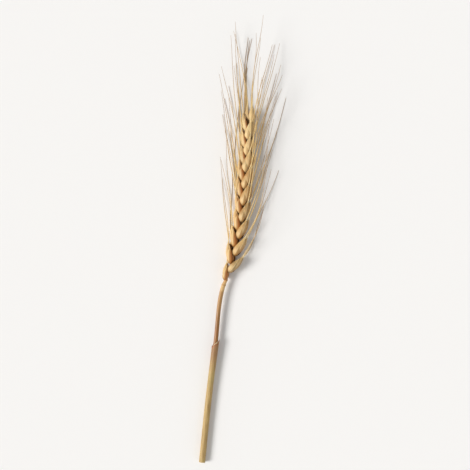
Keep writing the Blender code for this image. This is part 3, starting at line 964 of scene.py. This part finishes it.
# %% [markdown]
# ## The leaf sheath
# A wheat leaf starts as a sheath rolled round the straw, one margin over the other. The blade was
# stripped off at its mouth, which is slanted, torn and browned. The roll is a sheet whose radius grows a
# little on each turn, so that the margins overlap, opening at the mouth. Fine nerves run up it, and
# fibres torn from them stand out of the mouth.

# %% Leaf sheath
SHEATH_ROWS, SHEATH_COLUMNS = 80, 72
SHEATH_TOP = -31 * MM
SHEATH_WALL = 0.13 * MM
SHEATH_IN, SHEATH_OUT = 1.58 * MM, 1.8 * MM  # radius of the covered margin and of the free one
SHEATH_OVERLAP = 50 * DEG
SEAM = 128 * DEG  # of the free margin, from +X towards the camera
MOUTH_SLANT = 38 * DEG


def grid(rows, columns):
    """Shares up the rows and round the columns of a sheet."""
    return np.linspace(0, 1, rows)[:, None], np.linspace(0, 1, columns)[None, :]


def mouth_at(turn):
    """Height of the slanted mouth at the angles turn: SHEATH_TOP + tan(slant) * radius * cos(turn)."""
    return SHEATH_TOP + math.tan(MOUTH_SLANT) * SHEATH_OUT * np.cos(turn)


v, u = grid(SHEATH_ROWS, SHEATH_COLUMNS)
turn = SEAM - (1 - u) * (2 * np.pi + SHEATH_OVERLAP)
tongue = 1.3 * MM * bell(u - 0.72, 0.05)
jagged = np.random.default_rng(17).uniform(-0.12, 0.12, SHEATH_COLUMNS) * MM
mouth = mouth_at(turn) + 0.26 * MM * wander(turn, 31, 9, 2.0) + jagged + tongue
y = STALK_Y[0] + 0.02 * MM + v**0.93 * (mouth - STALK_Y[0])
flare = np.interp(y, np.array((-44, -37, -30)) * MM, (1, 1.04, 1.12))
ribs = 0.018 * MM * np.abs(np.cos(14 * turn + 0.4 * wander(v * 9, 6)))
curl = 0.12 * MM * ease(0.955, 1.0, u) * wander(v * 14, 9)
radius = (SHEATH_IN + (SHEATH_OUT - SHEATH_IN) * u) * flare + ribs + curl


def rolled(y, turn, radius, wall):
    """Outer and inner points round the stalk at the heights y: radius * cos(turn) to its side and
    radius * sin(turn) up from it, pressed flat on the surface."""
    _, side, up = stalk_frame(y)
    away = towards(turn, side, up)
    skins = [stalk_point(y) + away * reach[..., None] for reach in (radius, radius - wall)]
    return flattened(np.concatenate([skin.reshape(-1, 3) for skin in skins]), 0.0)


sheet = rolled(y, turn, radius, SHEATH_WALL)

# %% Sheath finish
SHEATH_NERVES = 30
SHEATH_BROWN, SHEATH_STRAW, SHEATH_PATCH = paints("825F2E D0B06E A67838")
SHEATH_OLIVE, SHEATH_DRIED, SHEATH_NERVE, TORN_BROWN = paints("A09653 8A5A36 DFC88E A8683F")


def sheath_colour(wire):
    """Fibres, brown and olive patches, a browned top, pale nerves, and brown along the torn edge."""
    _, v = wire.lay()
    fibre = wire.fibres(90, 1.3, 3.0, detail=4.0)
    torn = (wire.mark("edge") * 1.3 - fibre * 0.5).clamped()
    return fibre.eased(0.3, 0.7).tint(SHEATH_BROWN, SHEATH_STRAW).layered(
        (wire.mottle(150).eased(0.5, 0.72) * 0.45, SHEATH_PATCH),
        (wire.mottle(70).eased(0.48, 0.66) * 0.4, SHEATH_OLIVE),
        ((v + fibre * 1.2).eased(-4.0, -2.9) * 0.85, SHEATH_DRIED),
        (wire.ridges(SHEATH_NERVES, 3.0) * 0.35, SHEATH_NERVE),
        (torn * 0.9, TORN_BROWN),
    )


sheath_finish = finish_of(
    "leaf_sheath", sheath_colour, lambda wire: 0.36 + 0.25 * wire.mottle(900),
    lambda wire: wire.ridges(SHEATH_NERVES) + straw_fibre(wire, 130.0),
    relief=0.4, depth=0.1 * MM,
)
edge = bell(mouth - y, 1.3 * MM)
marks = np.tile(stacked(u * 0.999, y / CM, edge).reshape(-1, 3), (2, 1))
faces = sheet_faces(SHEATH_ROWS, SHEATH_COLUMNS)
piece_of("rolled_sheath", sheet, faces, sheath_finish, "sheath", ["leaf_sheath"], marks, ("edge",))

# %% Torn fibres at the mouth
FIBRES = 110
fray = np.random.default_rng(33)
column = fray.integers(2, SHEATH_COLUMNS - 2, FIBRES)
root = sheet.reshape(2, SHEATH_ROWS, SHEATH_COLUMNS, 3)[:, -2].mean(0)[column]
root = root + fray.normal(0, 0.06, (FIBRES, 3)) * MM
along, side, up = (way[-1, column] for way in stalk_frame(y))
angle = turn[0, column] + fray.normal(0, 0.3, FIBRES)
aside = towards(angle, side, up)
ahead = unit(along + aside * fray.normal(0.02, 0.12, FIBRES)[:, None])
keep = root[:, 2] > 0.6 * MM
lengths = fray.gamma(3.0, 0.3, keep.sum()).clip(0.3, 2.2) * MM
radii = fray.uniform(0.02, 0.045, keep.sum()) * MM
spikes_of(
    "torn_fibres", keep, root, ahead, aside, lengths, radii, 0.06, sheath_finish, "sheath",
    ["leaf_sheath"],
)

# %% [markdown]
# ## Ligule
# Where the blade left the sheath, a thin skin stands round the straw and keeps rain out. Dry, it is a
# pale ragged cuff just inside the mouth.

# %% Ligule
LIGULE_GRID = (10, 40)  # rows, columns
LIGULE_RADIUS, LIGULE_WALL = 1.52 * MM, 0.05 * MM
LIGULE_CREAM, LIGULE_STRAW = paints("F0E2BE D9BE8A")
v, u = grid(*LIGULE_GRID)
turn = SEAM + 0.5 - u * (2 * np.pi - 1.1)
height = 0.75 * MM * (1 + 0.5 * wander(turn, 44, 11, 2.0)).clip(0.2)
y = mouth_at(turn) - 1.6 * MM + v * (1.5 * MM + height)
cuff = rolled(y, turn, LIGULE_RADIUS - 0.2 * MM * v, LIGULE_WALL)
ligule_finish = finish_of(
    "ligule", lambda wire: wire.mottle(1400).eased(0.3, 0.7).tint(LIGULE_CREAM, LIGULE_STRAW),
    lambda wire: 0.4 + 0.2 * wire.mottle(700), lambda wire: wire.mottle(5000),
    relief=0.3, depth=0.03 * MM,
)
faces = sheet_faces(*LIGULE_GRID)
piece_of("ligule", cuff, faces, ligule_finish, "sheath", ["leaf_sheath"], sharp=80)

# %% [markdown]
# ## Floor, light and camera
# The ear lies on a pale table and the camera looks straight down, so the picture's up is along the
# straw. A broad, soft sun from the left gives the husks their bright left sides and the warm brown
# between them. A faint one from the other side opens the shadows, and so does a surround that is paler
# towards the horizon, where it also meets the floor's tone in a low view.

# %% Floor
bpy.ops.mesh.primitive_plane_add(size=6, location=(0, 0, -0.05 * MM))
floor = bpy.context.object
floor.name = "floor"
floor_finish = bpy.data.materials.new("pale_floor")
floor_finish.use_nodes = True
floor_shader = floor_finish.node_tree.nodes["Principled BSDF"]
floor_look = {"Base Color": (0.9, 0.9, 0.9, 1), "Roughness": 0.9, "Specular IOR Level": 0.1}
for socket, value in floor_look.items():
    floor_shader.inputs[socket].default_value = value
floor.data.materials.append(floor_finish)


# %% Light
def soft_sun(name, place, spread, strength, colour):
    """A sun that shines from the direction of place, with soft shadows for its spread in degrees."""
    lamp = bpy.data.lights.new(name, "SUN")
    lamp.angle, lamp.energy, lamp.color = spread * DEG, strength, colour
    light = bpy.data.objects.new(name, lamp)
    scene.collection.objects.link(light)
    x, y, z = unit(np.array(place))
    light.rotation_euler = (math.acos(z), 0, math.atan2(x, -y))


soft_sun("key", (-0.66, -0.1, 0.52), 24, 2.98, (1, 0.98, 0.95))
soft_sun("fill", (0.6, -0.5, 0.5), 40, 0.35, (1, 0.92, 0.8))
SKY_GREY, HORIZON_GREY = (0.36, 0.36, 0.36, 1), (0.92, 0.92, 0.92, 1)
world = bpy.data.worlds.new("studio")
world.use_nodes = True
sky = Wire(world.node_tree)
looking = sky.node("ShaderNodeTexCoord", output="Generated")
height = sky.node("ShaderNodeSeparateXYZ", inputs={0: looking}, output=2)
shade = height.eased(0.45, 0.0).tint(SKY_GREY, HORIZON_GREY)
world.node_tree.links.new(shade.socket, world.node_tree.nodes["Background"].inputs["Color"])
scene.world = world
scene.view_settings.view_transform = "Standard"

# %% Camera
PIXEL = 0.54 * MM  # of the photo
PIXELS = 470
LENS, SENSOR = 85.0, 36.0
PHOTO_MIDDLE = (-4.07 * MM, 3.0 * MM)
EAR_LEVEL = 4 * MM  # height of the stalk's line, where the scale has to be right
lens = bpy.data.cameras.new("camera")
lens.lens, lens.sensor_width, lens.clip_start = LENS, SENSOR, 0.01
camera = bpy.data.objects.new("camera", lens)
scene.collection.objects.link(camera)
distance = PIXELS * PIXEL * LENS / SENSOR
camera.location = (*PHOTO_MIDDLE, distance + EAR_LEVEL)
scene.camera = camera
print(f"camera {distance:.3f} m over the ear")
